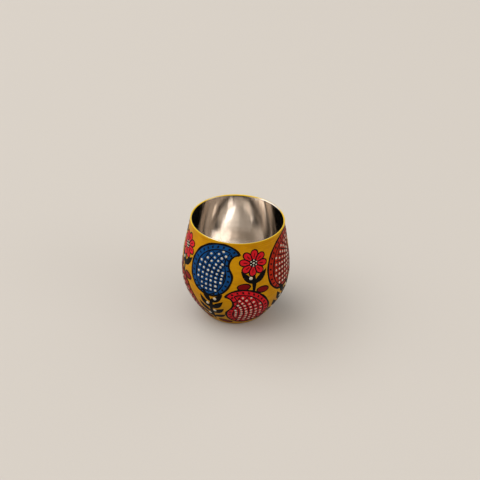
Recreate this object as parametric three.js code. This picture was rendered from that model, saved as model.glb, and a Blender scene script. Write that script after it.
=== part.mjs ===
// A rounded double-wall tea tumbler in stainless steel, with a painted ground coat outside.
// Millimetres, +Z up, origin at the centre of the foot on the surface that the tumbler stands on.
// Every piece is turned about Z. A profile is a list of points whose x is the radius and whose y is the height.
import * as THREE from "three";

// Outer jacket, on the bare steel
const BELLY_RADIUS = 39.85;
const BELLY_HEIGHT = 37.4;
const MOUTH_RADIUS = 34.25;
const LIP_EDGE_HEIGHT = 78.35;
const LIP_LAND = 2.5; // height of the straight stretch below the lip, where liner and jacket run together
const LIP_LEAN = THREE.MathUtils.degToRad(7); // how far that stretch leans inwards
const FOOT_RADIUS = 20.6; // outer edge of the flat ring that meets the table
const FOOT_BEND = 4.2; // radius of the turn from the foot into the wall
const WALL_RISE = THREE.MathUtils.degToRad(55); // slope of the wall above the foot
const FOOT_PULL = 11.6; // how far the lower wall keeps that slope
const BELLY_PULL_BELOW = 14.6; // how far the wall stays upright below the belly
const BELLY_PULL_ABOVE = 15.5; // and above it
const LIP_PULL = 9; // how far the upper wall keeps the lip's lean
const JACKET_SHEET = 0.5;

// Underside of the jacket
const FOOT_FLAT = 2.8; // width of the flat foot ring
const BASE_RECESS = 1.8; // height of the base panel above the table
const RECESS_STEP = 3.4; // radial run of the step from the foot ring to the base panel

// Seam between the two halves of the jacket
const SEAM_WELD_WIDTH = 0.5;
const SEAM_WELD_DEPTH = 0.25;
const COLLAR_HEIGHT = 3.5; // stepped collar of the lower half, inside the upper half
const COLLAR_STEP = 1.6; // height over which the collar steps in
const COLLAR_CLEARANCE = 0.1;
const COLLAR_TAPER = 0.3; // the collar leans in by this much, so that it enters easily

// Liner
const LINER_SHEET = 0.5;
const AIR_GAP = 2.5; // between liner and jacket at the belly
const LIP_CLEARANCE = 0.05;
const FLOOR_GAP = 2.4; // between the liner's floor and the base panel
const FLOOR_INSET = 8.6; // the flat floor ends this far inside the foot's edge
const FLOOR_SWEEP = 14.2; // how far the floor's round corner reaches outwards
const LINER_PULL = 17.5; // how far the liner stays upright below the belly

// Lip bead and paint
const LIP_CROWN = 0.5;
const COAT = 0.15;
const COAT_FOOT_HEIGHT = 0.4; // the paint stops about this high above the table

// Faceting
const AROUND = 48;
const BEND_SPANS = 4;
const LOWER_SPANS = 8;
const UPPER_SPANS = 7;
const STEP_SPANS = 4;
const CROWN_SPANS = 6;

const point = (radius, height) => new THREE.Vector2(radius, height);

// Points and left-hand normals of a curve, evenly spread over its parameter.
function trace(curve, spans) {
  return Array.from({ length: spans + 1 }, (_, i) => {
    const along = curve.getTangent(i / spans);
    return { at: curve.getPoint(i / spans), left: point(-along.y, along.x) };
  });
}

const places = (line) => line.map((p) => p.at);
const shifted = (line, distance) => line.map((p) => p.at.clone().addScaledVector(p.left, distance));

// Joins runs of points into one profile and drops a point that repeats the one before it.
function joined(...runs) {
  const near = 1e-6;
  return runs.flat().filter((p, i, all) => i === 0 || p.distanceTo(all[i - 1]) > near);
}

const closed = (profile) => [...profile, profile[0].clone()];

function turned(name, profile, material) {
  const geometry = new THREE.LatheGeometry(profile, AROUND).rotateX(Math.PI / 2);
  const mesh = new THREE.Mesh(geometry, material);
  mesh.name = name;
  return mesh;
}

const polishedSteel = new THREE.MeshStandardMaterial({ color: 0xc9c1b6, roughness: 0.12, metalness: 1 });
const satinSteel = new THREE.MeshStandardMaterial({ color: 0xb3ada4, roughness: 0.35, metalness: 1 });
const weldedSteel = new THREE.MeshStandardMaterial({ color: 0xa9a49c, roughness: 0.4, metalness: 1 });
const yellowEnamel = new THREE.MeshStandardMaterial({ color: 0xd79a12, roughness: 0.35, metalness: 0 });

// The jacket's outer line, from the base panel outwards and up to the lip
const baseRadius = FOOT_RADIUS - FOOT_FLAT - RECESS_STEP;
const stepEnd = FOOT_RADIUS - FOOT_FLAT;
const recessStep = new THREE.CubicBezierCurve(
  point(baseRadius, BASE_RECESS),
  point(baseRadius + RECESS_STEP / 2, BASE_RECESS),
  point(stepEnd - RECESS_STEP / 2, 0),
  point(stepEnd, 0),
);
const footBend = new THREE.EllipseCurve(
  FOOT_RADIUS,
  FOOT_BEND,
  FOOT_BEND,
  FOOT_BEND,
  -Math.PI / 2,
  WALL_RISE - Math.PI / 2,
);
const wallStart = footBend.getPoint(1);
const wallRise = point(Math.cos(WALL_RISE), Math.sin(WALL_RISE));
const seamBottom = BELLY_HEIGHT - SEAM_WELD_WIDTH / 2;
const seamTop = BELLY_HEIGHT + SEAM_WELD_WIDTH / 2;
const landBottom = LIP_EDGE_HEIGHT - LIP_LAND;

const lowerWall = new THREE.CubicBezierCurve(
  wallStart,
  wallStart.clone().addScaledVector(wallRise, FOOT_PULL),
  point(BELLY_RADIUS, seamBottom - BELLY_PULL_BELOW),
  point(BELLY_RADIUS, seamBottom),
);

// The wall from the seam up to the straight stretch below the lip. Liner and jacket share its heights.
const lipLean = point(Math.sin(LIP_LEAN), -Math.cos(LIP_LEAN));
function upperWall(belly, mouth) {
  const end = point(mouth + LIP_LAND * Math.tan(LIP_LEAN), landBottom);
  return new THREE.CubicBezierCurve(
    point(belly, seamTop),
    point(belly, seamTop + BELLY_PULL_ABOVE),
    end.clone().addScaledVector(lipLean, LIP_PULL),
    end,
  );
}

// Radii at the level lip edge, where the leaning sheets are cut
const jacketLipInside = MOUTH_RADIUS - JACKET_SHEET / Math.cos(LIP_LEAN);
const linerMouth = jacketLipInside - LIP_CLEARANCE;
const lipInside = linerMouth - LINER_SHEET / Math.cos(LIP_LEAN);

const stepLine = trace(recessStep, STEP_SPANS);
const bendLine = trace(footBend, BEND_SPANS);
const lowerLine = trace(lowerWall, LOWER_SPANS);
const upperLine = trace(upperWall(BELLY_RADIUS, MOUTH_RADIUS), UPPER_SPANS);

// Lower half of the jacket: base panel, foot ring, wall and the stepped collar that enters the upper half
function lowerJacket() {
  const rootRadius = BELLY_RADIUS - SEAM_WELD_DEPTH;
  const collarOut = BELLY_RADIUS - JACKET_SHEET - COLLAR_CLEARANCE;
  const collarIn = collarOut - JACKET_SHEET;
  const collarTop = BELLY_HEIGHT + COLLAR_HEIGHT;
  const outside = joined([point(0, BASE_RECESS)], places(stepLine), places(bendLine), places(lowerLine));
  const collar = [
    point(rootRadius, BELLY_HEIGHT),
    point(collarOut, BELLY_HEIGHT),
    point(collarOut - COLLAR_TAPER, collarTop),
    point(collarIn - COLLAR_TAPER, collarTop),
    point(collarIn, BELLY_HEIGHT),
    point(collarIn, seamBottom - COLLAR_STEP),
  ];
  const wallInside = shifted(lowerLine, JACKET_SHEET).filter((p) => p.y < seamBottom - 2 * COLLAR_STEP);
  const inside = joined(
    [point(0, BASE_RECESS + JACKET_SHEET)],
    shifted(stepLine, JACKET_SHEET),
    shifted(bendLine, JACKET_SHEET),
    wallInside,
  );
  return turned("lower_jacket", joined(outside, collar, inside.reverse()), satinSteel);
}

// Upper half of the jacket: its lower edge stands on the shoulder of the collar
function upperJacket() {
  const outside = joined(places(upperLine), [point(MOUTH_RADIUS, LIP_EDGE_HEIGHT)]);
  const inside = joined(
    [point(BELLY_RADIUS - JACKET_SHEET, BELLY_HEIGHT)],
    shifted(upperLine, JACKET_SHEET),
    [point(jacketLipInside, LIP_EDGE_HEIGHT)],
  );
  const root = point(BELLY_RADIUS - SEAM_WELD_DEPTH, BELLY_HEIGHT);
  return turned("upper_jacket", closed(joined([root], outside, inside.reverse())), satinSteel);
}

// Weld that fills the groove between the two halves, ground flush with the wall
function seamWeld() {
  const section = [
    point(BELLY_RADIUS - SEAM_WELD_DEPTH, BELLY_HEIGHT),
    point(BELLY_RADIUS, seamBottom),
    point(BELLY_RADIUS, seamTop),
  ];
  return turned("seam_weld", closed(section), weldedSteel);
}

// Liner: the cup that holds the drink, with a round-cornered floor and no seam
function innerCup() {
  const belly = BELLY_RADIUS - JACKET_SHEET - AIR_GAP;
  const floorHeight = BASE_RECESS + JACKET_SHEET + FLOOR_GAP;
  const floorRadius = FOOT_RADIUS - FLOOR_INSET;
  const bowl = new THREE.CubicBezierCurve(
    point(floorRadius, floorHeight),
    point(floorRadius + FLOOR_SWEEP, floorHeight),
    point(belly, seamTop - LINER_PULL),
    point(belly, seamTop),
  );
  const bowlLine = trace(bowl, LOWER_SPANS);
  const wallLine = trace(upperWall(belly, linerMouth), UPPER_SPANS);
  const outside = joined(
    [point(0, floorHeight)],
    places(bowlLine),
    places(wallLine),
    [point(linerMouth, LIP_EDGE_HEIGHT)],
  );
  const inside = joined(
    [point(0, floorHeight + LINER_SHEET)],
    shifted(bowlLine, LINER_SHEET),
    shifted(wallLine, LINER_SHEET),
    [point(lipInside, LIP_EDGE_HEIGHT)],
  );
  return turned("inner_cup", joined(outside, inside.reverse()), polishedSteel);
}

// The round bead of weld on the two sheet edges, which is the lip that one drinks from
const lipMiddle = (MOUTH_RADIUS + lipInside) / 2;
const lipHalfWidth = (MOUTH_RADIUS - lipInside) / 2;
const crown = new THREE.EllipseCurve(lipMiddle, LIP_EDGE_HEIGHT, lipHalfWidth, LIP_CROWN, 0, Math.PI);
const crownLine = trace(crown, CROWN_SPANS);

function lipWeld() {
  return turned("lip_weld", closed(places(crownLine)), weldedSteel);
}

// Paint film over the whole outside, from the foot's bend to just over the lip
function groundCoat() {
  const lineOfSteel = [
    ...bendLine.filter((p) => p.at.y > COAT_FOOT_HEIGHT),
    ...lowerLine,
    ...upperLine,
    ...crownLine.slice(0, -1),
  ];
  const profile = joined(shifted(lineOfSteel, -COAT), places(lineOfSteel).reverse());
  return turned("ground_coat", closed(profile), yellowEnamel);
}

const tumbler = new THREE.Group();
tumbler.name = "tumbler";
tumbler.add(innerCup(), upperJacket(), lowerJacket(), seamWeld(), lipWeld(), groundCoat());

export default tumbler;
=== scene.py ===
"""A rounded double-wall steel tumbler with a painted outside, dressed around its CAD frame."""

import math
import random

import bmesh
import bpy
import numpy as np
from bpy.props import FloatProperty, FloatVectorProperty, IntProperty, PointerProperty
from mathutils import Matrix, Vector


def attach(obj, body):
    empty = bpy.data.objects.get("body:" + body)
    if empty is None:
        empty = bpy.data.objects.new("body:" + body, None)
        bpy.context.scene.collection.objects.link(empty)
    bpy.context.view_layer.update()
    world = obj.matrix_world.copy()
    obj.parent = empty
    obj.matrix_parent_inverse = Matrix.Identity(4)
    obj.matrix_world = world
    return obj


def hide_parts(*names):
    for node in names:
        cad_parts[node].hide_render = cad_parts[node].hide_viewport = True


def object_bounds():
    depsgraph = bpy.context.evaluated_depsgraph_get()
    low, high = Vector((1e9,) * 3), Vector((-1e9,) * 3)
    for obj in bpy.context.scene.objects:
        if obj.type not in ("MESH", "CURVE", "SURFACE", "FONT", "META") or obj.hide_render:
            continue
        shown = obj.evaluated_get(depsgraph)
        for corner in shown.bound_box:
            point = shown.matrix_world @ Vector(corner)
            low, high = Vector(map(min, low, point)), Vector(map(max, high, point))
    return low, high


bl_info = {
    "name": "Painted Steel Tumbler",
    "version": (1, 0, 0),
    "blender": (4, 5, 0),
    "location": "View3D > Sidebar > Tumbler",
    "description": "Dresses a steel tumbler with fine shells, finishes and a painted ornament",
    "category": "Object",
}

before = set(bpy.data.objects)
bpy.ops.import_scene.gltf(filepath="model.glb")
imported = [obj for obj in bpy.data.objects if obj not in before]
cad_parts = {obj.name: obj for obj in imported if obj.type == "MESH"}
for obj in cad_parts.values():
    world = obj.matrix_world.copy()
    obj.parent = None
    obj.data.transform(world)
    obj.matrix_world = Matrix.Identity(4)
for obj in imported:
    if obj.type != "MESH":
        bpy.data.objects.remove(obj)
CAD_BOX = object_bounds()

MM = 0.001
BODY = "root"
PHOTO_SIDE = 480  # pixels along each side of the picture
MERGE = 1e-7  # metres within which two points of a mesh are one


def colour(name, red, green, blue, description):
    """A colour property, in linear light."""
    return FloatVectorProperty(
        name=name,
        description=description,
        subtype="COLOR",
        default=(red, green, blue),
        min=0.0,
        max=1.0,
    )


def number(name, default, description, **kind):
    """A number property, with a unit or subtype where one fits."""
    return FloatProperty(name=name, description=description, default=default, **kind)


def millimetres(name, default, description):
    """A length property, in plain millimetres."""
    return number(name, default, description, precision=3)


def metres(name, default, description):
    """A length property, in metres."""
    return number(name, default, description, unit="LENGTH")


def angle(name, degrees, description):
    """An angle property, given in degrees."""
    return number(name, math.radians(degrees), description, subtype="ANGLE")


class TumblerShells(bpy.types.PropertyGroup):
    """How finely the turned pieces are made, and the tints of their steel."""

    segments: IntProperty(
        name="Segments", description="Faces round each turned piece", default=240, min=48
    )
    step: millimetres("Step", 0.9, "Longest step along a profile")
    bend: angle("Bend", 6, "Largest turn between two steps of a profile")
    crease: angle("Crease", 40, "A profile bend sharper than this stays a crease")
    polished: colour("Polished", 0.82, 0.765, 0.71, "Steel of the liner")
    satin: colour("Satin", 0.62, 0.60, 0.57, "Steel of the jacket")
    welded: colour("Welded", 0.74, 0.70, 0.65, "Steel of the welds")


class TumblerPaint(bpy.types.PropertyGroup):
    """Colours and thickness of the enamels, and where the ground coat ends on the lip."""

    yellow: colour("Yellow", 0.72, 0.335, 0.002, "Ground coat")
    ochre: colour("Ochre", 0.61, 0.26, 0.001, "Thin streaks of the ground coat")
    # painted highlight: a paler, yellower colour on the lip's crown that stands in for light caught by its
    # glossy paint
    lemon: colour("Highlight", 0.84, 0.56, 0.02, "Ground coat where it gathers on the lip")
    blue: colour("Blue", 0.004, 0.085, 0.29, "Blue fills")
    navy: colour("Navy", 0.002, 0.050, 0.18, "Streaks of the blue fills")
    crimson: colour("Crimson", 0.82, 0.014, 0.024, "Crimson fills")
    cherry: colour("Cherry", 0.60, 0.009, 0.016, "Streaks of the crimson fills")
    vermilion: colour("Vermilion", 0.54, 0.026, 0.003, "Vermilion fills")
    brick: colour("Brick", 0.39, 0.013, 0.002, "Streaks of the vermilion fills")
    maroon: colour("Maroon", 0.25, 0.002, 0.003, "Buds")
    garnet: colour("Garnet", 0.16, 0.001, 0.002, "Streaks of the buds")
    black: colour("Black", 0.003, 0.003, 0.0035, "Outlines and leaves")
    soot: colour("Soot", 0.008, 0.007, 0.007, "Thin places of the black")
    cream: colour("Cream", 0.80, 0.74, 0.60, "Drops")
    ivory: colour("Ivory", 0.62, 0.55, 0.42, "Thin places of the drops")
    film: millimetres("Film", 0.06, "Thickness of a painted fill")
    line_film: millimetres("Line film", 0.07, "Height of a brush line on what it is painted on")
    sink: millimetres("Sink", 0.03, "How deep the edge of a film sits in the ground coat")
    # where that painted highlight on the lip starts and where it is full, below the lip's top
    highlight_start: millimetres("Lemon start", 0.9, "Where the lemon starts, below the lip's top")
    highlight_full: millimetres("Lemon full", 0.35, "Where it is full, below the lip's top")
    lip_edge: angle("Lip edge", 113, "Where the ground coat ends, round the lip from its outside")
    lip_sway: angle("Lip sway", 62, "How much less at the front, and more at the back")
    lip_dip: angle("Lip dip", 11, "How much less at the front and back, and more at the sides")
    lip_wander: angle("Lip wander", 22, "Unevenness of that edge")
    lip_bare: angle("Lip bare", 95, "How much less where the lip is rubbed bare")
    bare_turn: angle("Bare turn", 129, "Middle of that stretch, from the front to the right")
    bare_width: angle("Bare width", 16.5, "Half of its width")


class TumblerOrnament(bpy.types.PropertyGroup):
    """Sizes of the painted motifs."""

    zones: IntProperty(name="Zones", description="Repeats round the tumbler", default=4, min=3)
    offset: angle("Offset", 17, "Turn of the first zone from the front")
    lean: angle("Lean", 3.0, "Turn of a rosette from the mango below it")
    upper_rise: millimetres("Upper rise", 39.0, "Root of an upper mango, along the wall from the foot")
    lower_rise: millimetres("Lower rise", 6.0, "Root of a lower mango")
    rosette_rise: millimetres("Rosette rise", 68.0, "Middle of a rosette")
    stalk_rise: millimetres("Stalk rise", 43.5, "Root of a rosette's stalk")
    stalk_length: millimetres("Stalk length", 17.0, "Length of a rosette's stalk")
    sprig_rise: millimetres("Sprig rise", 7.0, "Root of a sprig below an upper mango")
    sprig_length: millimetres("Sprig length", 31.0, "Length of that sprig")
    mango_length: millimetres("Mango length", 50.0, "Along its bending middle line")
    mango_width: millimetres("Mango width", 34.0, "Across its bulb")
    mango_curl: angle("Mango curl", 125, "How far the tip turns")
    border: millimetres("Border", 4.8, "From a mango's outline to its inner line")
    lattice_pitch: millimetres("Lattice pitch", 3.7, "Side of a lattice cell")
    outline_width: millimetres("Outline width", 1.75, "Width of the outlines")
    lattice_width: millimetres("Lattice width", 1.0, "Width of the lattice lines")
    tick_pitch: millimetres("Tick pitch", 4.2, "Between the ticks of a border")
    tick_length: millimetres("Tick length", 2.8, "Length of a tick")
    drop_width: millimetres("Drop width", 1.8, "Across a white drop in the lattice")
    berry_width: millimetres("Berry width", 2.6, "Across a white berry on a sprig")
    leaf_length: millimetres("Leaf length", 16.0, "Length of a sprig's leaf")
    leaf_width: millimetres("Leaf width", 5.4, "Width of a sprig's leaf")
    stem_width: millimetres("Stem width", 3.2, "Width of a sprig's stem")
    bud_length: millimetres("Bud length", 9.5, "Length of a bud")
    bud_width: millimetres("Bud width", 5.0, "Width of a bud")
    petal_length: millimetres("Petal length", 8.0, "Length of a rosette's petal")
    petal_width: millimetres("Petal width", 5.2, "Width of a rosette's petal")
    heart_width: millimetres("Heart width", 6.4, "Across a rosette's black heart")
    seed: IntProperty(name="Seed", description="Seed of the hand's small unevenness", default=7)

    def turn(self, zone):
        """The turn round the wall of a zone, or of a place between two."""
        return self.offset + zone * math.tau / self.zones


class TumblerStudio(bpy.types.PropertyGroup):
    """Camera, floor and lights."""

    field_of_view: angle("Field of view", 26.0, "Across the picture")
    elevation: angle("Elevation", 32.56, "Camera above the horizon")
    roll: angle("Roll", -2.36, "Turn of the camera about its line of sight")
    distance: metres("Distance", 0.775, "Camera to object")
    across: number("Across", -3.2, "Object's middle right of the picture's", subtype="PIXEL")
    above: number("Above", -23.2, "Object's middle above the picture's", subtype="PIXEL")
    floor: colour("Floor", 0.62, 0.60, 0.57, "Pale floor")
    floor_bounce: number("Floor bounce", 0.4, "Share of its light that reaches the tumbler")
    floor_reach: metres("Floor reach", 1.6, "From the tumbler to the floor's edges")
    floor_clear: metres("Floor clear", 0.7, "Where the floor starts to fade into the backdrop")
    backdrop: colour("Backdrop", 0.694, 0.637, 0.568, "What the camera sees beyond the floor")
    dim_wall: colour("Dim wall", 0.10, 0.094, 0.088, "Surroundings behind the tumbler")
    dim_azimuth: angle("Dim azimuth", -30, "Middle of those surroundings, to the right of the back")
    lit_wall: colour("Lit wall", 0.92, 0.863, 0.805, "Surroundings behind the camera")
    low_wall: colour("Low wall", 0.12, 0.114, 0.108, "Surroundings near the floor")
    ceiling: colour("Ceiling", 0.50, 0.45, 0.395, "Soft light from overhead")
    halo: colour("Halo", 1.0, 0.95, 0.89, "Soft light on the ceiling round the softbox")
    halo_spread: angle("Halo spread", 50, "Radius of that light")
    halo_strength: number("Halo strength", 1.0, "Its brightness in the middle")
    key_azimuth: angle("Key azimuth", -80, "Turn of the softbox to the right of the back")
    key_elevation: angle("Key elevation", 56, "Height of the softbox")
    key_distance: metres("Key distance", 3.9, "Softbox to tumbler")
    key_width: metres("Key width", 6.0, "Width of the softbox")
    key_height: metres("Key height", 2.2, "Height of the softbox")
    key_power: number("Key power", 62.0, "Power of the softbox", unit="POWER")
    fill_azimuth: angle("Fill azimuth", 112, "Turn of the small softbox to the right of the back")
    fill_elevation: angle("Fill elevation", 27, "Height of the small softbox")
    fill_distance: metres("Fill distance", 3.0, "Small softbox to tumbler")
    fill_width: metres("Fill width", 1.6, "Width of the small softbox")
    fill_height: metres("Fill height", 0.7, "Height of the small softbox")
    fill_power: number("Fill power", 7.0, "Power of the small softbox", unit="POWER")


class Wire:
    """A node's output. Arithmetic on it adds Math nodes to the same graph."""

    def __init__(self, graph, socket):
        self.graph = graph
        self.socket = socket

    def __add__(self, other):
        return self.graph.math("ADD", self, other)

    def __sub__(self, other):
        return self.graph.math("SUBTRACT", self, other)

    def __rsub__(self, other):
        return self.graph.math("SUBTRACT", other, self)

    def __mul__(self, other):
        return self.graph.math("MULTIPLY", self, other)

    def __truediv__(self, other):
        return self.graph.math("DIVIDE", self, other)

    def __rtruediv__(self, other):
        return self.graph.math("DIVIDE", other, self)

    __radd__ = __add__
    __rmul__ = __mul__


class Graph:
    """A node tree of a material, the world or Geometry Nodes."""

    def __init__(self, tree):
        self.tree = tree

    def add(self, kind, inputs=None, output=0, **settings):
        """Adds a node, sets it, fills its sockets with values or wires and gives one of its outputs.

        A colour is given as red, green and blue.
        """
        node = self.tree.nodes.new(kind)
        for name, value in settings.items():
            setattr(node, name, value)
        for key, value in (inputs or {}).items():
            socket = node.inputs[key]
            if isinstance(value, Wire):
                self.tree.links.new(value.socket, socket)
            else:
                socket.default_value = (*value, 1.0) if socket.type == "RGBA" else value
        return Wire(self, node.outputs[output]) if len(node.outputs) else None

    def math(self, operation, first, second):
        return self.add("ShaderNodeMath", {0: first, 1: second}, operation=operation)

    def noise(self, vector, scale, stretch=None, detail=3.0, roughness=0.5):
        """A noise from 0 to 1 over a vector, whose axes can be stretched one by one."""
        if stretch:
            vector = self.add("ShaderNodeVectorMath", {0: vector, 1: stretch}, operation="MULTIPLY")
        inputs = {"Vector": vector, "Scale": scale, "Detail": detail, "Roughness": roughness}
        return self.add("ShaderNodeTexNoise", inputs)

    def ramp(self, value, low, high):
        """A value spread from 0 at low to 1 at high, with soft ends."""
        inputs = {"Value": value, "From Min": low, "From Max": high}
        return self.add("ShaderNodeMapRange", inputs, interpolation_type="SMOOTHSTEP")

    def mixed(self, factor, first, second):
        """A colour between two others."""
        inputs = {"Factor": factor, 6: first, 7: second}
        return self.add("ShaderNodeMix", inputs, output=2, data_type="RGBA")

    def bump(self, height, depth):
        """A relief, as deep as the depth in millimetres where the height is 1."""
        return self.add("ShaderNodeBump", {"Height": height, "Strength": 1.0, "Distance": depth * MM})


def new_material(name):
    """A material with an empty graph."""
    material = bpy.data.materials.new(name)
    material.use_nodes = True
    material.node_tree.nodes.clear()
    return material, Graph(material.node_tree)


def finished(graph, **inputs):
    """Ends a material's graph in a Principled shader."""
    titles = {key: key.replace("_", " ").title().replace("Ior", "IOR") for key in inputs}
    sockets = {titles[key]: value for key, value in inputs.items()}
    shader = graph.add("ShaderNodeBsdfPrincipled", sockets)
    graph.add("ShaderNodeOutputMaterial", {"Surface": shader})


def ringed(share):
    """The stretch that draws a noise out into rings about Z."""
    return (share, share, 1.0)


def drawn(share):
    """The stretch that draws a noise out down the wall."""
    return (1.0, 1.0, share)


def steel_finish(name, tint, roughness, marks, waves):
    """Turned steel: fine rings from the lathe, and slow waves from the spinning tool.

    The depths of the marks and the waves are in millimetres.
    """
    stain_tone = 0.86  # of the stained steel over the clean
    ring_haze, smear_haze = 0.05, 0.06  # what the rings and the smears add to the roughness
    score_depth, swell_depth = 6, 0.5  # of the scores over the rings, and the swells over the flutes
    material, graph = new_material(name)
    place = graph.add("ShaderNodeTexCoord", output="Object")
    rings = graph.noise(place, 5200.0, ringed(0.02), detail=4.0, roughness=0.6)
    smears = graph.noise(place, 160.0, drawn(0.12), detail=2.0)
    flutes = graph.noise(place, 150.0, drawn(0.12), detail=1.0)
    swells = graph.noise(place, 140.0, ringed(0.1), detail=1.0)
    scores = graph.noise(place, 1100.0, drawn(0.04), detail=2.0)
    stains = graph.noise(place, 90.0, detail=4.0, roughness=0.6)
    clean = graph.ramp(stains, low=0.3, high=0.75)
    smeared = graph.ramp(smears, low=0.45, high=0.8)
    relief = rings * marks + scores * (score_depth * marks) + (flutes + swells * swell_depth) * waves
    finished(
        graph,
        base_color=graph.mixed(clean, [stain_tone * c for c in tint], tint),
        metallic=1.0,
        roughness=roughness + rings * ring_haze + smeared * smear_haze,
        normal=graph.bump(relief, depth=1.0),
        anisotropic=0.8,
        anisotropic_rotation=0.25,
    )
    return material


def enamel_finish(name, full, thin, place, stretch, shine=0.05, lip=None):
    """Hand-brushed enamel: streaks along the brush, thinner paint in them, and a glossy skin.

    The stretch gives the streaks to a millimetre. A lip is a painted highlight on the lip's crown:
    its colour, and the heights at which it starts and is full.
    """
    gloss, streak_haze = 0.3, 0.16  # least roughness, and what the streaks add to it
    patch_rate, patch_share = 0.12, 0.6  # slow patches to a millimetre, and their weight
    coat_share = 1.5  # weight of the skin over the paint's own shine
    material, graph = new_material(name)
    if place == "Object":
        where = graph.add("ShaderNodeTexCoord", output="Object")
        unit = 1.0 / MM
    else:
        where = graph.add("ShaderNodeUVMap", uv_map=place)
        unit = 1.0
    streaks = graph.noise(where, unit, stretch, roughness=0.55)
    patches = graph.noise(where, patch_rate * unit, detail=2.0)
    worn = graph.ramp(streaks + patches * patch_share, low=0.62, high=1.0)
    shade = graph.mixed(worn, full, thin)
    if lip:
        # painted highlight: the lip colour lightens the top of the wall in place of light on the glossy
        # crown
        gathered, low, high = lip
        height = graph.add("ShaderNodeSeparateXYZ", {0: where}, output="Z")
        shade = graph.mixed(graph.ramp(height, low, high), shade, gathered)
    finished(
        graph,
        base_color=shade,
        roughness=gloss + streaks * streak_haze,
        normal=graph.bump(streaks, depth=0.012),
        specular_ior_level=shine,
        coat_weight=coat_share * shine,
        coat_roughness=0.08,
    )
    return material


THIN_SHADES = {
    "blue": "navy",
    "crimson": "cherry",
    "vermilion": "brick",
    "maroon": "garnet",
    "black": "soot",
    "cream": "ivory",
}
GROUND_STREAKS = (0.11, 0.11, 1.3)  # to a millimetre, in space: they run round the wall
DROP_STREAKS = (0.9, 0.9, 0.9)
BRUSH_STREAKS = (1.5, 0.16, 1.0)  # to a millimetre, across the brush and along it
BLACK_SHINE = 0.02


def enamel(shade, paint):
    """The enamel of a shade, made once."""
    name = f"{shade}_enamel"
    known = bpy.data.materials.get(name)
    if known:
        return known
    colours = getattr(paint, shade), getattr(paint, THIN_SHADES[shade])
    if shade == "cream":
        return enamel_finish(name, *colours, "Object", DROP_STREAKS)
    if shade == "black":
        return enamel_finish(name, *colours, "brush", BRUSH_STREAKS, BLACK_SHINE)
    return enamel_finish(name, *colours, "brush", BRUSH_STREAKS)


def profile_of(node):
    """A turned CAD node's profile: its points at azimuth zero, in order, as (radius, height).

    A profile that doesn't start on the axis ends on the point that it starts from.
    """
    slack, digits = 1e-6, 6
    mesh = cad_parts[node].data
    column = {
        v.index: (round(v.co.x, digits), round(v.co.z, digits))
        for v in mesh.vertices
        if abs(v.co.y) < slack and v.co.x > -slack
    }
    near = {}
    for edge in mesh.edges:
        first, second = (column.get(i) for i in edge.vertices)
        if first is not None and second is not None and first != second:
            near.setdefault(first, set()).add(second)
            near.setdefault(second, set()).add(first)
    ends = sorted(p for p in near if len(near[p]) == 1)
    walk = [ends[0] if ends else min(near)]
    while True:
        ahead = [p for p in sorted(near[walk[-1]]) if p not in walk]
        if not ahead:
            break
        walk.append(ahead[0])
    return walk if ends else walk + [walk[0]]


def turn_between(first, second):
    """The angle between two directions."""
    cross = first[0] * second[1] - first[1] * second[0]
    return abs(math.atan2(cross, float(np.dot(first, second))))


def stretches_of(profile, crease):
    """A profile cut at its creases into smooth stretches."""
    points = [np.array(p) for p in profile]
    closed = profile[0] == profile[-1]
    count = len(points) - 1

    def bend_at(i):
        before = points[i - 1 if i else count - 1]
        return turn_between(points[i] - before, points[i + 1] - points[i])

    creases = [i for i in range(0 if closed else 1, count) if bend_at(i) > crease]
    if closed:
        first = creases[0]
        points = points[first:-1] + points[: first + 1]
        creases = [i - first for i in creases[1:]]
    cuts = [0, *creases, count]
    return [points[a : b + 1] for a, b in zip(cuts, cuts[1:])]


def eased(points):
    """The points of a stretch, with one more near the end of a long span beside a short one, so
    that a spline through them doesn't bulge in the long one."""
    longest = 2.5  # of a span over the one beside it
    spans = [math.dist(a, b) for a, b in zip(points, points[1:])]
    out = [points[0]]
    for i, span in enumerate(spans):
        ahead = points[i + 1] - points[i]
        before = spans[i - 1] if i else span
        after = spans[i + 1] if i + 1 < len(spans) else span
        if span > longest * before:
            out.append(points[i] + ahead * before / span)
        if span > longest * after:
            out.append(points[i + 1] - ahead * after / span)
        out.append(points[i + 1])
    return np.array(out)


def spline(points, step, bend):
    """A smooth line through a stretch's points, with short enough steps and small enough bends."""
    points = eased(points)
    span = np.linalg.norm(np.diff(points, axis=0), axis=1)
    slope = np.diff(points, axis=0) / span[:, None]
    heading = np.empty_like(points)
    weight = span[:-1] + span[1:]
    heading[1:-1] = (slope[:-1] * span[1:, None] + slope[1:] * span[:-1, None]) / weight[:, None]
    heading[0] = 2 * slope[0] - heading[1] if len(span) > 1 else slope[0]
    heading[-1] = 2 * slope[-1] - heading[-2] if len(span) > 1 else slope[0]
    out = []
    for i, length in enumerate(span):
        turned = turn_between(heading[i], heading[i + 1])
        count = max(1, math.ceil(length / step), math.ceil(turned / bend))
        t = (np.arange(count) / count)[:, None]
        out.append(
            points[i] * (1 + 2 * t) * (1 - t) ** 2
            + heading[i] * length * t * (1 - t) ** 2
            + points[i + 1] * t * t * (3 - 2 * t)
            + heading[i + 1] * length * t * t * (t - 1)
        )
    return np.vstack([*out, points[-1:]])


def smooth_lines(node, shells):
    """A CAD node's profile as smooth lines, with its facets rounded, from crease to crease."""
    stretches = stretches_of(profile_of(node), shells.crease)
    return [spline(points, shells.step * MM, shells.bend) for points in stretches]


def travelled(points):
    """The distance along a line at each of its points."""
    return np.concatenate([[0.0], np.cumsum(np.linalg.norm(np.diff(points, axis=0), axis=1))])


def along(points, walked, at):
    """Points of a line at some distances along it."""
    return np.stack([np.interp(at, walked, points[:, k]) for k in range(points.shape[1])], axis=-1)


def pointing(heading):
    """The flat direction of a heading. Heading 0 points up."""
    return np.stack([np.sin(heading), np.cos(heading)], axis=-1)


def round_axis(radius, height, turn):
    """Points or directions about the axis. Turn 0 faces the camera and grows to the right."""
    return np.stack([radius * np.sin(turn), -radius * np.cos(turn), height], axis=-1)


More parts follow.
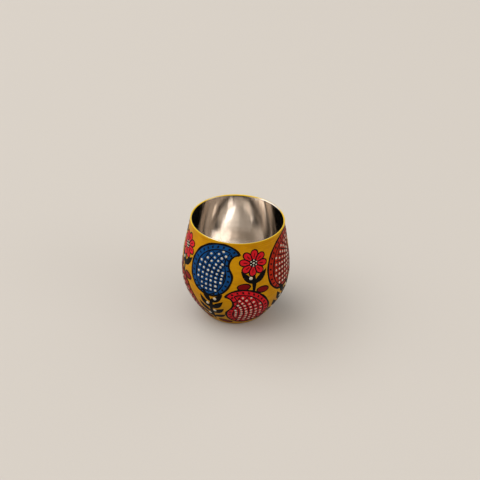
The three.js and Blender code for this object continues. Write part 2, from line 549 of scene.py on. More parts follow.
def geometry_tree(name, **inputs):
    """An empty Geometry Nodes tree with a geometry input, the named inputs and a geometry output."""
    tree = bpy.data.node_groups.new(name, "GeometryNodeTree")
    for title, kind in {"Geometry": "Geometry", **inputs}.items():
        tree.interface.new_socket(name=title, in_out="INPUT", socket_type=f"NodeSocket{kind}")
    tree.interface.new_socket(name="Geometry", in_out="OUTPUT", socket_type="NodeSocketGeometry")
    graph = Graph(tree)
    entry = tree.nodes.new("NodeGroupInput")
    return graph, {socket.name: Wire(graph, socket) for socket in entry.outputs if socket.name}


def ended_tree(graph, geometry, material):
    """Ends a tree with real geometry in one material."""
    whole = graph.add("GeometryNodeRealizeInstances", {"Geometry": geometry})
    coated = graph.add("GeometryNodeSetMaterial", {"Geometry": whole, "Material": material})
    graph.add("NodeGroupOutput", {"Geometry": coated})
    return graph.tree


def turned_tree():
    """Turns a profile, a mesh line in the XZ plane, about Z."""
    name = "Turned Shell"
    known = bpy.data.node_groups.get(name)
    if known:
        return known
    slack = 1e-4  # so that rounding doesn't put a row's first point in the row before
    graph, given = geometry_tree(name, Segments="Int", Material="Material")
    profile, columns = given["Geometry"], given["Segments"] + 1
    count = graph.add("GeometryNodeAttributeDomainSize", {"Geometry": profile}, component="MESH")
    grid = graph.add("GeometryNodeMeshGrid", {"Vertices X": count, "Vertices Y": columns})
    index = graph.add("GeometryNodeInputIndex")
    row = graph.add("ShaderNodeMath", {0: index / columns + slack}, operation="FLOOR")
    turn = (index - row * columns) / given["Segments"] * math.tau
    place = graph.add(
        "GeometryNodeSampleIndex",
        {"Geometry": profile, "Value": graph.add("GeometryNodeInputPosition"), "Index": row},
        data_type="FLOAT_VECTOR",
    )
    swung = graph.add(
        "ShaderNodeVectorRotate", {"Vector": place, "Angle": turn}, rotation_type="Z_AXIS"
    )
    surface = graph.add("GeometryNodeSetPosition", {"Geometry": grid, "Position": swung})
    merged = graph.add("GeometryNodeMergeByDistance", {"Geometry": surface, "Distance": MERGE})
    return ended_tree(graph, merged, given["Material"])


def marks_tree():
    """Sets a small round mark of paint on each point, lying flat on the wall."""
    name = "Paint Marks"
    known = bpy.data.node_groups.get(name)
    if known:
        return known
    graph, given = geometry_tree(name, Sides="Int", Rings="Int", Material="Material")

    def stored(title):
        return graph.add("GeometryNodeInputNamedAttribute", {"Name": title}, data_type="FLOAT_VECTOR")

    axes = {"Primary Axis": stored("outward"), "Secondary Axis": stored("along")}
    lying = graph.add("FunctionNodeAxesToRotation", axes, primary_axis="Z", secondary_axis="X")
    mark = graph.add(
        "GeometryNodeMeshUVSphere",
        {"Segments": given["Sides"], "Rings": given["Rings"], "Radius": 1.0},
    )
    marks = graph.add(
        "GeometryNodeInstanceOnPoints",
        {"Points": given["Geometry"], "Instance": mark, "Rotation": lying, "Scale": stored("size")},
    )
    return ended_tree(graph, marks, given["Material"])


def grown(obj, tree, **inputs):
    """Runs a Geometry Nodes tree on an object and keeps the plain mesh that it makes."""
    modifier = obj.modifiers.new(tree.name, "NODES")
    modifier.node_group = tree
    for item in tree.interface.items_tree:
        if item.in_out == "INPUT" and item.name in inputs:
            modifier[item.identifier] = inputs[item.name]
    depsgraph = bpy.context.evaluated_depsgraph_get()
    mesh = bpy.data.meshes.new_from_object(obj.evaluated_get(depsgraph), depsgraph=depsgraph)
    obj.modifiers.clear()
    obj.data = mesh
    mesh.name = obj.name


def new_object(name, data):
    obj = bpy.data.objects.new(name, data)
    bpy.context.scene.collection.objects.link(obj)
    return obj


def closed_up(mesh):
    """Merges a mesh's doubles, drops what collapsed, points its faces outwards and shades it smooth."""
    work = bmesh.new()
    work.from_mesh(mesh)
    bmesh.ops.remove_doubles(work, verts=work.verts, dist=MERGE)
    bmesh.ops.dissolve_degenerate(work, edges=work.edges, dist=MERGE)
    bmesh.ops.recalc_face_normals(work, faces=work.faces)
    work.to_mesh(mesh)
    work.free()
    mesh.shade_smooth()


def seated(obj, slot, *nodes):
    """Puts a finished piece on the tumbler's body and hides the nodes that it stands for. The slot is not
    used.
    """
    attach(obj, BODY)
    if nodes:
        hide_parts(*nodes)


def turned_piece(name, node, material, slot, shells):
    """A fine smooth piece turned from a CAD node's own profile."""
    first, *others = smooth_lines(node, shells)
    profile = np.vstack([first, *[line[1:] for line in others]])
    mesh = bpy.data.meshes.new(name)
    points = [(r, 0.0, z) for r, z in profile]
    mesh.from_pydata(points, [(i, i + 1) for i in range(len(points) - 1)], [])
    obj = new_object(name, mesh)
    grown(obj, turned_tree(), Segments=shells.segments, Material=material)
    closed_up(obj.data)
    obj.data.set_sharp_from_angle(angle=shells.crease)
    seated(obj, slot, node)
    return obj


class PaintedWall:
    """The outer line of the ground coat, from the foot to the lip, on which the ornament is painted."""

    def __init__(self, shells):
        lines = smooth_lines("ground_coat", shells)
        line = max(lines, key=lambda points: points[:, 0].max())
        line = line if line[0, 1] < line[-1, 1] else line[::-1]
        self.radius, self.height = line.T
        self.rise = travelled(line)
        ahead = np.gradient(line, self.rise, axis=0)
        ahead /= np.linalg.norm(ahead, axis=1)[:, None]
        self.out_radius, self.out_height = ahead[:, 1], -ahead[:, 0]

    def level(self, values, rise):
        """What the wall's line has at some rises along it."""
        return np.interp(rise, self.rise, values)

    def at(self, turn, rise, lift):
        """Points on the wall or lifted off it."""
        radius = self.level(self.radius, rise) + lift * self.level(self.out_radius, rise)
        height = self.level(self.height, rise) + lift * self.level(self.out_height, rise)
        return round_axis(radius, height, turn)

    def outward(self, turn, rise):
        """The wall's outward direction."""
        return round_axis(self.level(self.out_radius, rise), self.level(self.out_height, rise), turn)


class Spot:
    """A place on the wall for a motif that is drawn flat, in millimetres about its own origin."""

    def __init__(self, wall, turn, rise, tilt=0.0, mirror=1):
        self.wall = wall
        self.turn = turn
        self.rise = rise * MM
        self.tilt = tilt
        self.mirror = mirror

    def spread(self, flat):
        """Turn and rise of flat points, with true lengths along every level of the wall."""
        x, y = self.mirror * flat[..., 0] * MM, flat[..., 1] * MM
        across = x * math.cos(self.tilt) + y * math.sin(self.tilt)
        rise = self.rise - x * math.sin(self.tilt) + y * math.cos(self.tilt)
        return self.turn + across / self.wall.level(self.wall.radius, rise), rise

    def on_wall(self, flat, lift):
        return self.wall.at(*self.spread(flat), lift * MM)

    def outward(self, flat):
        return self.wall.outward(*self.spread(flat))


def oval(u):
    """A half oval over 0 to 1, with a height of 1."""
    return np.sqrt(np.maximum(0.0, 1 - (2 * u - 1) ** 2))


def mango(u):
    """A round bulb that tapers to a fine tip."""
    bulb, fineness = 0.36, 1.15  # share of the length up to the widest place, and power of the taper
    tip = np.clip((u - bulb) / (1 - bulb), 0, 1)
    return np.where(u < bulb, oval(u / bulb / 2), np.cos(np.pi / 2 * tip) ** fineness)


LEAF_POWER = 0.8  # below 1, a leaf is widest nearer to its root
PETAL_POWER = 1.35  # above 1, a petal is widest nearer to its tip
BLADE_FORMS = {
    "leaf": lambda u: np.sin(np.pi * u**LEAF_POWER),
    "oval": oval,
    "petal": lambda u: oval(u**PETAL_POWER),
    "mango": mango,
}


class Blade:
    """A shape along a bending middle line, in flat millimetres."""

    samples = 241

    def __init__(self, root, heading, length, width, bend=0.0, form="leaf", curl=1.0):
        self.length = length
        self.half = width / 2
        self.form = BLADE_FORMS[form]
        self.u = np.linspace(0, 1, self.samples)
        course = heading + bend * self.u**curl
        forward = pointing(course)
        steps = (forward[1:] + forward[:-1]) / 2 * length / (self.samples - 1)
        self.middle = np.vstack([[root], np.array(root) + np.cumsum(steps, axis=0)])
        self.side = np.stack([np.cos(course), -np.sin(course)], axis=1)

    def half_width(self, u):
        return self.half * self.form(u)

    def point(self, u, across):
        """The flat point at a share of the length and a distance right of the middle line."""
        middle, side = along(self.middle, self.u, u), along(self.side, self.u, u)
        return middle + side * np.asarray(across)[..., None]

    def outline(self, inset=0.0):
        """The closed line round the shape, or inside it by an inset."""
        room = self.half_width(self.u) - inset
        u, room = self.u[room >= 0], room[room >= 0]
        return np.vstack([self.point(u, room), self.point(u[::-1], -room[::-1])[1:-1]])

    def reach(self, across, inset):
        """The shares of the length where a line at that distance from the middle stays inside."""
        inside = self.u[self.half_width(self.u) - inset > abs(across)]
        return (inside[0], inside[-1]) if len(inside) > 1 else None


class Film:
    """Closed patches of paint on the wall, gathered into one mesh.

    A patch lies on a number of coats of film over the ground. Flat lengths are in millimetres.
    """

    least_rows, least_steps, least_side = 6, 4, 1e-9
    side_power, end_power = 16, 20  # keep a fill flat up to its sides and its ends
    brush_shift = 10  # how far the brush marks move on in a radian round the wall
    step = 0.8  # between the points of a line
    tip_power = 6  # keeps a line wide up to its pointed ends
    sway = 0.16  # of a line's width, as a share of it
    sway_rate, sway_shift = 0.55, 9  # its phase in a millimetre, and in a radian round the wall
    across = np.array([-1.0, -0.62, 0.0, 0.62, 1.0])  # places over half a line's width
    crest = np.array([0.0, 0.8, 1.0, 0.8, 0.0])  # its height at them

    def __init__(self, paint):
        self.paint = paint
        self.points = []
        self.faces = []
        self.brush = []

    def sheet(self, points, brush, wrap=False):
        """Adds a grid of points, of rows by columns, as faces."""
        rows, columns = points.shape[:2]
        first = len(self.points)
        self.points += [tuple(p) for p in points.reshape(-1, 3)]
        self.brush += [tuple(b) for b in brush.reshape(-1, 2)]
        for i in range(rows if wrap else rows - 1):
            here, ahead = first + i * columns, first + (i + 1) % rows * columns
            for j in range(columns - 1):
                self.faces.append((here + j, here + j + 1, ahead + j + 1, ahead + j))

    def height(self, coats, film, share):
        """The height of a film over the ground, and below it at its edge, where the share is 0."""
        return (coats * self.paint.film + film + self.paint.sink) * share - self.paint.sink

    def fill(self, spot, blade, coats=0, grain=1.1):
        """Fills a blade: a film with a rounded edge, and its underside in the ground coat."""
        rows = max(self.least_rows, math.ceil(blade.length / grain))
        columns = max(self.least_rows, 2 * math.ceil(blade.half / grain))
        u = np.linspace(0, 1, rows + 1)[:, None] * np.ones(columns + 1)
        v = np.sin(np.linspace(-1, 1, columns + 1) * math.pi / 2)[None, :] * np.ones((rows + 1, 1))
        across = v * blade.half_width(u)
        flat = blade.point(u, across)
        brush = np.stack([across, u * blade.length], axis=-1) + self.brush_shift * spot.turn
        inside = (1 - v**self.side_power) * (1 - (2 * u - 1) ** self.end_power)
        top = spot.on_wall(flat, self.height(coats, self.paint.film, inside))
        under = spot.on_wall(flat, np.full(u.shape, -self.paint.sink))
        self.sheet(top, brush)
        self.sheet(under[:, ::-1], brush[:, ::-1])

    def line(self, spot, flat, width, coats=1, closed=False):
        """Paints a brush line along flat points, with a rounded back, and pointed ends if it is open."""
        loop = np.vstack([flat, flat[:1]]) if closed else flat
        walked = travelled(loop)
        count = max(self.least_steps, math.ceil(walked[-1] / self.step))
        at = np.linspace(0, walked[-1], count + 1)
        at = at[:-1] if closed else at
        course = along(loop, walked, at)
        half = np.full(len(course), width / 2)
        if closed:
            ahead = np.roll(course, -1, axis=0) - np.roll(course, 1, axis=0)
        else:
            ahead = np.gradient(course, axis=0)
            share = np.linspace(-1, 1, len(course))
            half *= np.maximum(0.0, 1 - share**self.tip_power)
        half *= 1 + self.sway * np.sin(at * self.sway_rate + self.sway_shift * spot.turn + course[0, 0])
        half = half[:, None]
        side = np.stack([ahead[:, 1], -ahead[:, 0]], axis=1)
        side /= np.maximum(np.linalg.norm(side, axis=1), self.least_side)[:, None]
        across = self.across * half
        narrow = width / 4  # a line whose half width is below this is lower too
        height = self.height(coats, self.paint.line_film, self.crest * np.minimum(1.0, half / narrow))
        brush = np.stack([across, np.broadcast_to(at[:, None], across.shape)], axis=-1)
        top = spot.on_wall(course[:, None, :] + side[:, None, :] * across[..., None], height)
        self.sheet(top, brush, wrap=closed)
        self.sheet(top[:, [-1, 0]], brush[:, [-1, 0]], wrap=closed)

    def outline(self, spot, blade, width, inset=0.0):
        """Paints a line round a blade, or inside it by an inset."""
        self.line(spot, blade.outline(inset), width, closed=True)

    def piece(self, name, shade, slot=None):
        """The gathered paint as an object on the tumbler's body, in the enamel of its shade."""
        mesh = bpy.data.meshes.new(name)
        mesh.from_pydata(self.points, [], self.faces)
        layer = mesh.uv_layers.new(name="brush")
        spread = np.array(self.brush, dtype=np.float32)[[loop.vertex_index for loop in mesh.loops]]
        layer.data.foreach_set("uv", spread.ravel())
        closed_up(mesh)
        mesh.materials.append(enamel(shade, self.paint))
        seated(new_object(name, mesh), f"{slot or shade}_enamel")


class Marks:
    """Small round marks of paint, as points with their lie and size. Lengths are in millimetres."""

    probe = 0.1  # how far ahead a mark's lie is measured

    def __init__(self, paint):
        self.paint = paint
        self.points = []
        self.outward = []
        self.along = []
        self.size = []

    def add(self, spot, flat, size, coats=1, heading=0.0):
        """Adds a mark at a flat point, of a length, width and height, on a number of coats of film."""
        flat = np.asarray(flat, dtype=float)
        ahead = flat + self.probe * pointing(heading)
        lift = coats * self.paint.film
        here = spot.on_wall(flat, lift)
        self.points.append(tuple(here))
        self.outward.append(tuple(spot.outward(flat)))
        self.along.append(tuple((spot.on_wall(ahead, lift) - here) / np.linalg.norm(ahead - flat)))
        self.size.append(tuple(s * MM / 2 for s in size))

    def piece(self, name, shade, slot=None, sides=10, rings=5):
        """The marks as an object on the tumbler's body, in the enamel of its shade."""
        mesh = bpy.data.meshes.new(name)
        mesh.from_pydata(self.points, [], [])
        for title in ("outward", "along", "size"):
            layer = mesh.attributes.new(title, "FLOAT_VECTOR", "POINT")
            layer.data.foreach_set("vector", np.array(getattr(self, title), dtype=np.float32).ravel())
        obj = new_object(name, mesh)
        grown(obj, marks_tree(), Sides=sides, Rings=rings, Material=enamel(shade, self.paint))
        obj.data.shade_smooth()
        seated(obj, f"{slot or shade}_enamel")


def at_hand(scene):
    """What the painter works with: the motifs' sizes, the paint and the wall."""
    return scene.tumbler_ornament, scene.tumbler_paint, PaintedWall(scene.tumbler_shells)


class TUMBLER_OT_steel(bpy.types.Operator):
    """Turn the liner, the two halves of the jacket and the welds"""

    bl_idname = "tumbler.steel"
    bl_label = "Steel Shells"

    pieces = (
        ("polished_liner", "inner_cup", "polished_steel"),
        ("upper_shell", "upper_jacket", "satin_steel"),
        ("lower_shell", "lower_jacket", "satin_steel"),
        ("girth_bead", "seam_weld", "weld_steel"),
        ("lip_bead", "lip_weld", "weld_steel"),
    )

    def execute(self, context):
        shells = context.scene.tumbler_shells
        looks = {
            "polished_steel": dict(tint=shells.polished, roughness=0.05, marks=0.0006, waves=0.08),
            "satin_steel": dict(tint=shells.satin, roughness=0.28, marks=0.0020, waves=0.05),
            "weld_steel": dict(tint=shells.welded, roughness=0.10, marks=0.0010, waves=0.02),
        }
        steels = {slot: steel_finish(slot, **look) for slot, look in looks.items()}
        for name, node, slot in self.pieces:
            turned_piece(name, node, steels[slot], slot, shells)
        return {"FINISHED"}


class TUMBLER_OT_ground(bpy.types.Operator):
    """Brush the yellow ground coat over the outside"""

    bl_idname = "tumbler.ground"
    bl_label = "Ground Coat"

    waves = ((1.0, 5, 4.9), (0.3, 11, 2.0))  # of the edge on the lip: size, count round it, phase
    thinned, late = 0.8, 6  # share of the film that is lost at that edge, and how late

    def execute(self, context):
        shells, paint = context.scene.tumbler_shells, context.scene.tumbler_paint
        top = CAD_BOX[1].z
        # a painted highlight on the lip's crown: its colour and the heights where it starts and is full
        lip = (paint.lemon, top - paint.highlight_start * MM, top - paint.highlight_full * MM)
        slot = "yellow_enamel"
        yellow = enamel_finish(slot, paint.yellow, paint.ochre, "Object", GROUND_STREAKS, lip=lip)
        coat = turned_piece("yellow_ground", "ground_coat", yellow, slot, shells)
        self.brushed_edge(coat.data, paint)
        return {"FINISHED"}

    def brushed_edge(self, mesh, paint):
        """Draws the paint on the lip back to a thin edge that wanders as a hand leaves it."""
        lip = np.array(profile_of("lip_weld"))
        (inner, base), (outer, top) = lip.min(axis=0), lip.max(axis=0)
        middle, half, crown = (inner + outer) / 2, (outer - inner) / 2, top - base

        def crown_reach(swing):
            return half * crown / np.hypot(crown * np.cos(swing), half * np.sin(swing))

        points = np.empty((len(mesh.vertices), 3), dtype=np.float32)
        mesh.vertices.foreach_get("co", points.ravel())
        over = points[:, 2] > base
        x, y, z = points[over].T
        radius = np.hypot(x, y)
        turn = np.arctan2(x, -y)
        swing = np.arctan2(z - base, radius - middle)
        lift = np.hypot(z - base, radius - middle) - crown_reach(swing)
        share = swing / swing.max()
        wander = sum(size * np.sin(count * turn + phase) for size, count, phase in self.waves)
        edge = paint.lip_edge - paint.lip_sway * np.cos(turn) - paint.lip_dip * np.cos(2 * turn)
        edge += paint.lip_wander * wander * (1 - np.cos(turn)) / 2
        edge -= paint.lip_bare * np.exp(-(((turn - paint.bare_turn) / paint.bare_width) ** 2))
        swing = share * edge
        reach = crown_reach(swing) + lift * (1 - self.thinned * share**self.late)
        drawn_in = (middle + reach * np.cos(swing)) / radius
        points[over] = np.stack([x * drawn_in, y * drawn_in, base + reach * np.sin(swing)], axis=1)
        mesh.vertices.foreach_set("co", points.ravel())
        mesh.update()


class TUMBLER_OT_mangoes(bpy.types.Operator):
    """Paint the curling mangoes, with their lattice, ticks and drops"""

    bl_idname = "tumbler.mangoes"
    bl_label = "Mangoes"

    shades = ("blue", "crimson", "vermilion")
    upper_shades = ("vermilion", "crimson", "blue", "blue")
    lower_shades = ("crimson", "blue", "vermilion", "vermilion")
    tilts = (0.1, 0.16)  # least and most tilt of an upper mango, in radians
    lower_tilt, lower_size = -0.7, 0.96  # of a lower mango over an upper one
    heading, curl = 0.15, 2.6  # of a mango's root, and how late it curls
    inner_width = 0.7  # of the inner outline over the outer one
    strokes = ((1.0, 0.35, 0.9), (0.8, 0.3, 2.2))  # length and width over the tick length, and slant
    tick_height = 0.4
    tick_probe = 0.2  # how far ahead the border's heading is measured
    long_points, cross_points = 40, 24  # of a lattice line
    drop_shift, drop_height = 0.25, 0.5
    drop_sizes = (0.85, 1.15)  # least and most, over the drop width

    def execute(self, context):
        ornament, paint, wall = at_hand(context.scene)
        hand = random.Random(ornament.seed)
        fills = {shade: Film(paint) for shade in self.shades}
        lines, drops, ticks = Film(paint), Marks(paint), Marks(paint)
        tilts = [hand.uniform(*self.tilts) for _ in range(ornament.zones)]
        for k, tilt in enumerate(tilts):
            high = Spot(wall, ornament.turn(k + 0.5), ornament.upper_rise, tilt, mirror=-1)
            low = Spot(wall, ornament.turn(k), ornament.lower_rise, self.lower_tilt * tilt)
            pair = (high, self.upper_shades, 1.0), (low, self.lower_shades, self.lower_size)
            for spot, shades, size in pair:
                length, width = ornament.mango_length * size, ornament.mango_width * size
                bend = -ornament.mango_curl
                blade = Blade((0, 0), self.heading, length, width, bend, "mango", self.curl)
                fills[shades[k % len(shades)]].fill(spot, blade)
                self.outline(spot, blade, ornament, lines, ticks)
                self.lattice(spot, blade, ornament, lines, drops, hand)
        for shade, film in fills.items():
            film.piece(f"mango_{shade}", shade)
        lines.piece("mango_lines", "black")
        ticks.piece("mango_ticks", "black", sides=6, rings=4)
        drops.piece("mango_drops", "cream", slot="white")
        return {"FINISHED"}

    def outline(self, spot, blade, ornament, lines, ticks):
        """A mango's outer and inner outline, with crossed ticks in the border between them."""
        lines.outline(spot, blade, ornament.outline_width)
        lines.outline(spot, blade, ornament.outline_width * self.inner_width, ornament.border)
        border = blade.outline(ornament.border / 2)
        walked = travelled(border)
        for at in np.arange(ornament.tick_pitch / 2, walked[-1], ornament.tick_pitch):
            here, ahead = (along(border, walked, at + reach) for reach in (0.0, self.tick_probe))
            heading = math.atan2(*(ahead - here))
            for length, width, slant in self.strokes:
                size = (length * ornament.tick_length, width * ornament.tick_length, self.tick_height)
                ticks.add(spot, here, size, heading=heading + slant)

    def lattice(self, spot, blade, ornament, lines, drops, hand):
        """Lines along and across a mango's middle, with a drop set by hand in each whole cell."""
        pitch, inset = ornament.lattice_pitch, ornament.border
        sides = int(blade.half / pitch)
        for k in range(-sides, sides + 1):
            reach = blade.reach(k * pitch, inset)
            if reach:
                u = np.linspace(*reach, self.long_points)
                lines.line(spot, blade.point(u, np.full_like(u, k * pitch)), ornament.lattice_width)
        for j in range(1, int(blade.length / pitch)):
            u = j * pitch / blade.length
            room = blade.half_width(u) - inset
            if room > pitch / 2:
                across = np.linspace(-room, room, self.cross_points)
                lines.line(spot, blade.point(np.full_like(across, u), across), ornament.lattice_width)
            u += pitch / 2 / blade.length
            room = blade.half_width(u) - inset - ornament.drop_width / 2
            for k in range(-sides, sides):
                across = (k + 0.5) * pitch
                if abs(across) < room:
                    shift = [hand.uniform(-self.drop_shift, self.drop_shift) for _ in "xy"]
                    length, width = (ornament.drop_width * hand.uniform(*self.drop_sizes) for _ in "lw")
                    size, heading = (length, width, self.drop_height), hand.uniform(0, math.tau)
                    drops.add(spot, blade.point(u, across) + np.array(shift), size, heading=heading)


class TUMBLER_OT_rosettes(bpy.types.Operator):
    """Paint the round flowers between the mangoes"""

    bl_idname = "tumbler.rosettes"
    bl_label = "Rosettes"

    petals, stamens = 8, 6
    first_tilt, next_tilt = 0.1, 0.05
    petal_line, vein_line = 0.6, 0.8  # widths over the outline width and the lattice width
    vein, vein_points = (0.2, 0.7), 8  # where it starts and ends along the petal
    petal_root, stamen_ring = 0.35, 0.34  # from the middle, over the heart's width
    eye, stamen = 0.25, 0.17  # sizes over the heart's width
    eye_height, stamen_height = 0.6, 0.5
    petal_grain, heart_grain = 0.8, 0.7

    def execute(self, context):
        ornament, paint, wall = at_hand(context.scene)
        petals, lines, hearts, drops = Film(paint), Film(paint), Film(paint), Marks(paint)
        heart = ornament.heart_width
        eye = (self.eye * heart, self.eye * heart, self.eye_height)
        stamen = (self.stamen * heart, self.stamen * heart, self.stamen_height)
        for k in range(ornament.zones):
            tilt = self.first_tilt + self.next_tilt * k
            spot = Spot(wall, ornament.turn(k) + ornament.lean, ornament.rosette_rise, tilt)
            for heading in np.arange(self.petals) * math.tau / self.petals:
                root = self.petal_root * heart * pointing(heading)
                petal = Blade(root, heading, ornament.petal_length, ornament.petal_width, form="petal")
                petals.fill(spot, petal, grain=self.petal_grain)
                lines.outline(spot, petal, ornament.outline_width * self.petal_line)
                vein = petal.point(np.linspace(*self.vein, self.vein_points), np.zeros(self.vein_points))
                lines.line(spot, vein, ornament.lattice_width * self.vein_line)
            middle = Blade((0, -heart / 2), 0, heart, heart, form="oval")
            hearts.fill(spot, middle, coats=1, grain=self.heart_grain)
            drops.add(spot, (0, 0), eye, coats=2)
            for heading in np.arange(self.stamens) * math.tau / self.stamens:
                drops.add(spot, self.stamen_ring * heart * pointing(heading), stamen, coats=2)
        petals.piece("rosette_petals", "crimson")
        lines.piece("rosette_lines", "black")
        hearts.piece("rosette_hearts", "black")
        drops.piece("rosette_drops", "cream", slot="white")
        return {"FINISHED"}


class TUMBLER_OT_sprigs(bpy.types.Operator):
    """Paint the black leafy sprigs, with their berries and buds"""

    bl_idname = "tumbler.sprigs"
    bl_label = "Leafy Sprigs"

    tilt = 0.1  # of a low sprig
    low_stem, high_stem = (0.3, 4), (-0.2, 1)  # bend and pairs of leaves, of a low sprig and a stalk
    low_buds = ((-1, 1.0), (1, 1.0))  # side and rise of the buds beside a low sprig
    high_buds = ((-1, 6.5), (1, 2.5))  # the same beside a rosette's stalk
    bud_root, bud_heading = 2.5, 1.65  # beside the stem, and outwards from it
    bud_line = 0.6  # width of a bud's outline over the outline width
    first_pitch, spare_pitch = 0.7, 0.4  # of the pairs: below the first one, and beyond their number
    leaf_size, leaf_swell = 0.78, 0.12  # of a leaf at a stem's ends, and what the stem's middle adds
    leaf_heading, leaf_closing = 1.1, 0.3  # of a leaf at a stem's root, and how much less at its tip
    leaf_bend = -0.4
    fork, berry_height = (2.6, 4.4), 0.8  # place of a berry beside a pair's root, and its height
    grain, stem_skip = 0.8, 8

    def execute(self, context):
        ornament, paint, wall = at_hand(context.scene)
        leaves, buds, lines, berries = Film(paint), Film(paint), Film(paint), Marks(paint)
        for k in range(ornament.zones):
            low = Spot(wall, ornament.turn(k + 0.5), ornament.sprig_rise, self.tilt)
            high = Spot(wall, ornament.turn(k) + ornament.lean, ornament.stalk_rise)
            self.sprig(low, ornament.sprig_length, *self.low_stem, ornament, leaves, berries)
            self.sprig(high, ornament.stalk_length, *self.high_stem, ornament, leaves, berries)
            for spot, places in ((low, self.low_buds), (high, self.high_buds)):
                for side, rise in places:
                    root, heading = (self.bud_root * side, rise), self.bud_heading * side
                    bud = Blade(root, heading, ornament.bud_length, ornament.bud_width, form="oval")
                    buds.fill(spot, bud, grain=self.grain)
                    lines.outline(spot, bud, ornament.outline_width * self.bud_line)
        leaves.piece("sprig_leaves", "black")
        lines.piece("bud_lines", "black")
        buds.piece("buds", "maroon", slot="crimson")
        berries.piece("berries", "cream", slot="white", sides=14, rings=7)
        return {"FINISHED"}

    def sprig(self, spot, length, bend, pairs, ornament, leaves, berries):
        """One sprig: a stem, leaves in pairs and a berry in one fork of each pair."""
        stem = Blade((0, 0), -bend / 2, length, ornament.stem_width, bend)
        leaves.line(spot, stem.middle[:: self.stem_skip], ornament.stem_width, coats=0)
        for j in range(pairs):
            u = (j + self.first_pitch) / (pairs + self.spare_pitch)
            root = stem.point(u, 0.0)
            size = self.leaf_size + self.leaf_swell * math.sin(math.pi * u)
            leaf_length, leaf_width = ornament.leaf_length * size, ornament.leaf_width * size
            for side in (-1, 1):
                heading = side * (self.leaf_heading - self.leaf_closing * u)
                leaf = Blade(root, heading, leaf_length, leaf_width, self.leaf_bend * side)
                leaves.fill(spot, leaf, grain=self.grain)
            across, up = self.fork
            place = root + np.array([across if j % 2 else -across, up])
            size = (ornament.berry_width, ornament.berry_width, self.berry_height)
            berries.add(spot, place, size, coats=0)


def towards(azimuth, elevation):
    """A direction from the tumbler: azimuth 0 is the back, and grows to the right."""
    level = math.cos(elevation)
    return Vector((level * math.sin(azimuth), level * math.cos(azimuth), math.sin(elevation)))


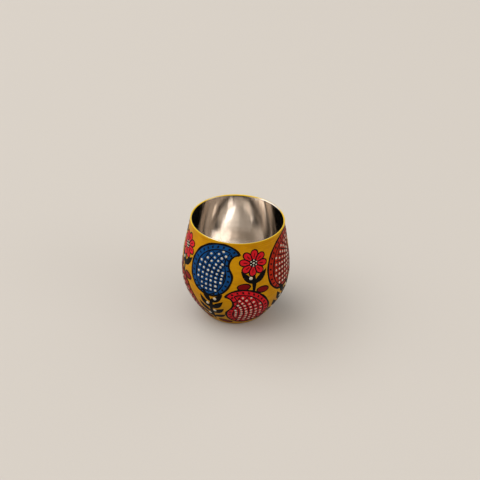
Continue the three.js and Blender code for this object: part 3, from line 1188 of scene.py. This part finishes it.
class TUMBLER_OT_stage(bpy.types.Operator):
    """Set up the floor, the lights and the camera"""

    bl_idname = "tumbler.stage"
    bl_label = "Stage"

    grain_rate, grain_tone = 900.0, 0.96  # of the floor: grains to a metre, and tone of the dim ones
    dim_span = (0.45, 0.85)  # cosines from the dim wall's middle, where it starts and is full
    low_span = (0.04, 0.36)  # sines of the elevations between which the low wall ends
    ceiling_span = (0.62, 0.82)  # the same where the ceiling starts
    sensor = 24  # millimetres

    def execute(self, context):
        studio = context.scene.tumbler_studio
        self.floor(studio)
        self.surroundings(context.scene, studio)
        self.softbox("key", studio)
        self.softbox("fill", studio)
        self.camera(context.scene, studio)
        context.scene.view_settings.view_transform = "Standard"
        return {"FINISHED"}

    def floor(self, studio):
        """A pale floor with a fine grain, which fades into the backdrop before its edges."""
        mesh = bpy.data.meshes.new("floor")
        side = studio.floor_reach
        corners = [(-side, -side, 0), (side, -side, 0), (side, side, 0), (-side, side, 0)]
        mesh.from_pydata(corners, [], [(0, 1, 2, 3)])
        material, graph = new_material("pale_floor")
        place = graph.add("ShaderNodeTexCoord", output="Object")
        grain = graph.noise(place, self.grain_rate, detail=2.0)
        dim = [self.grain_tone * c for c in studio.floor]
        shade = graph.mixed(grain, dim, studio.floor)
        thrown = [studio.floor_bounce * c for c in studio.floor]
        seen = graph.add("ShaderNodeLightPath", output="Is Camera Ray")
        mirrored = graph.add("ShaderNodeLightPath", output="Is Glossy Ray")
        shade = graph.mixed(seen + mirrored, thrown, shade)
        matt = graph.add("ShaderNodeBsdfDiffuse", {"Color": shade})
        pale = graph.add("ShaderNodeEmission", {"Color": studio.backdrop})
        away = graph.add("ShaderNodeVectorMath", {0: place}, output="Value", operation="LENGTH")
        fade = graph.ramp(away, studio.floor_clear, studio.floor_reach) * seen
        both = graph.add("ShaderNodeMixShader", {0: fade, 1: matt, 2: pale})
        graph.add("ShaderNodeOutputMaterial", {"Surface": both})
        mesh.materials.append(material)
        new_object("floor", mesh)

    def surroundings(self, scene, studio):
        """A dim room under a softly lit ceiling, with a pale backdrop for the camera."""
        scene.world = bpy.data.worlds.new("studio")
        scene.world.use_nodes = True
        scene.world.node_tree.nodes.clear()
        graph = Graph(scene.world.node_tree)
        place = graph.add("ShaderNodeTexCoord", output="Generated")

        def nearness(azimuth, elevation):
            inputs = {0: place, 1: towards(azimuth, elevation)}
            return graph.add("ShaderNodeVectorMath", inputs, output="Value", operation="DOT_PRODUCT")

        dim = graph.ramp(nearness(studio.dim_azimuth, 0.0), *self.dim_span)
        height = nearness(0.0, math.pi / 2)
        wall = graph.mixed(dim, studio.lit_wall, studio.dim_wall)
        wall = graph.mixed(graph.ramp(height, *self.low_span), studio.low_wall, wall)
        shade = graph.mixed(graph.ramp(height, *self.ceiling_span), wall, studio.ceiling)
        key = nearness(studio.key_azimuth, studio.key_elevation)
        glow = graph.ramp(key, math.cos(studio.halo_spread), 1.0) * studio.halo_strength
        room = graph.add("ShaderNodeBackground", {"Color": shade})
        halo = graph.add("ShaderNodeBackground", {"Color": studio.halo, "Strength": glow})
        lit = graph.add("ShaderNodeAddShader", {0: room, 1: halo})
        pale = graph.add("ShaderNodeBackground", {"Color": studio.backdrop})
        seen = graph.add("ShaderNodeLightPath", output="Is Camera Ray")
        both = graph.add("ShaderNodeMixShader", {0: seen, 1: lit, 2: pale})
        graph.add("ShaderNodeOutputWorld", {0: both})

    def softbox(self, name, studio):
        """A rectangular soft light that looks at the tumbler, by the name that its settings start with."""

        def setting(key):
            return getattr(studio, f"{name}_{key}")

        lamp = bpy.data.lights.new(name, "AREA")
        lamp.shape = "RECTANGLE"
        lamp.size = setting("width")
        lamp.size_y = setting("height")
        lamp.energy = setting("power")
        obj = new_object(name, lamp)
        heading = towards(setting("azimuth"), setting("elevation"))
        obj.location = heading * setting("distance")
        obj.rotation_mode = "QUATERNION"
        obj.rotation_quaternion = heading.to_track_quat("Z", "Y")

    def camera(self, scene, studio):
        """The camera at the photograph's viewing angle."""
        lens = bpy.data.cameras.new("camera")
        lens.sensor_width = self.sensor
        lens.lens = self.sensor / 2 / math.tan(studio.field_of_view / 2)
        pixel = studio.distance * math.tan(studio.field_of_view / 2) / (PHOTO_SIDE / 2)
        forward = Vector((0, math.cos(studio.elevation), -math.sin(studio.elevation)))
        up = Vector((0, math.sin(studio.elevation), math.cos(studio.elevation)))
        right = Vector((1, 0, 0))
        middle = Vector((0, 0, CAD_BOX[1].z / 2))
        place = middle - forward * studio.distance - (right * studio.across + up * studio.above) * pixel
        obj = new_object("camera", lens)
        facing = Matrix((right, up, -forward)).transposed().to_4x4()
        obj.matrix_world = Matrix.Translation(place) @ facing @ Matrix.Rotation(-studio.roll, 4, "Z")
        scene.camera = obj


class TUMBLER_PT_panel(bpy.types.Panel):
    """Lists the steps that build the tumbler"""

    bl_label = "Tumbler"
    bl_idname = "TUMBLER_PT_panel"
    bl_space_type = "VIEW_3D"
    bl_region_type = "UI"
    bl_category = "Tumbler"

    def draw(self, context):
        for step in STEPS:
            self.layout.operator(step.bl_idname)


STEPS = (
    TUMBLER_OT_stage,
    TUMBLER_OT_steel,
    TUMBLER_OT_ground,
    TUMBLER_OT_mangoes,
    TUMBLER_OT_rosettes,
    TUMBLER_OT_sprigs,
)
SETTINGS = {
    "tumbler_shells": TumblerShells,
    "tumbler_paint": TumblerPaint,
    "tumbler_ornament": TumblerOrnament,
    "tumbler_studio": TumblerStudio,
}


def register():
    for kind in (*SETTINGS.values(), *STEPS, TUMBLER_PT_panel):
        bpy.utils.register_class(kind)
    for name, kind in SETTINGS.items():
        setattr(bpy.types.Scene, name, PointerProperty(type=kind))


def unregister():
    for name in SETTINGS:
        delattr(bpy.types.Scene, name)
    for kind in (TUMBLER_PT_panel, *STEPS[::-1], *list(SETTINGS.values())[::-1]):
        bpy.utils.unregister_class(kind)


def main():
    register()
    bpy.ops.tumbler.stage()
    bpy.ops.tumbler.steel()
    bpy.ops.tumbler.ground()
    bpy.ops.tumbler.mangoes()
    bpy.ops.tumbler.rosettes()
    bpy.ops.tumbler.sprigs()


if __name__ == "__main__":
    main()
